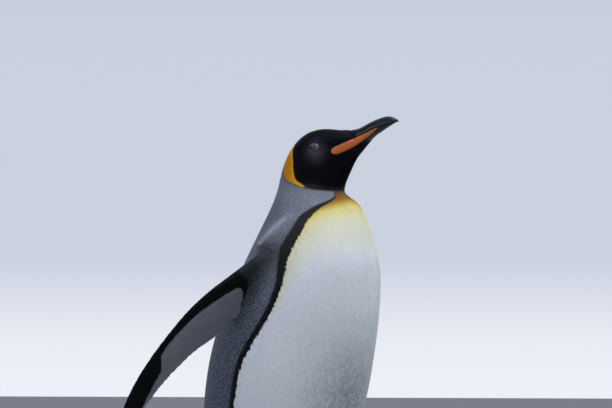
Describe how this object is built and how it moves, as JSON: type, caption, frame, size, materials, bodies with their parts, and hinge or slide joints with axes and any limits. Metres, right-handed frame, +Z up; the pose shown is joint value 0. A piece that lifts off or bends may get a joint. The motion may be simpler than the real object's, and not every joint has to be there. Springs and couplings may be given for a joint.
{
  "type": "king penguin",
  "caption": "Life-size still model of a standing adult king penguin, head raised in profile and flippers swept back and out.",
  "frame": {"origin": "on the floor, below the middle of the bird's box", "axes": "+X forwards, the way the bill points; +Y to the bird's left; +Z up"},
  "size_m": [0.3766, 0.5132, 0.8152],
  "materials": {
    "plumage": "dense short feathers: satin white front, slate grey back",
    "plumage_neck": "dense short feathers: blue-grey nape, golden throat",
    "plumage_head": "velvety black feathers with gold ear patches",
    "flipper_feathers": "small stiff scale-like feathers",
    "quills": "stiff dark tail feathers",
    "horn": "dark horn with a low gloss",
    "plate": "smooth orange horn plate",
    "foot_skin": "scaly black skin",
    "eye": "wet dark brown"
  },
  "bodies": {
    "root": {"trunk": "plumage", "neck": "plumage_neck", "head": "plumage_head", "bill_upper": "horn", "bill_lower": "horn", "tail": "quills", "bill_plate_left": "plate", "bill_plate_right": "plate", "eye_left": "eye", "eye_right": "eye", "flipper_left": "flipper_feathers", "flipper_right": "flipper_feathers", "leg_left": "plumage", "leg_right": "plumage", "foot_left": "foot_skin", "foot_right": "foot_skin", "claw_inner_left": "horn", "claw_inner_right": "horn", "claw_middle_left": "horn", "claw_middle_right": "horn", "claw_outer_left": "horn", "claw_outer_right": "horn"}
  },
  "joints": []
}
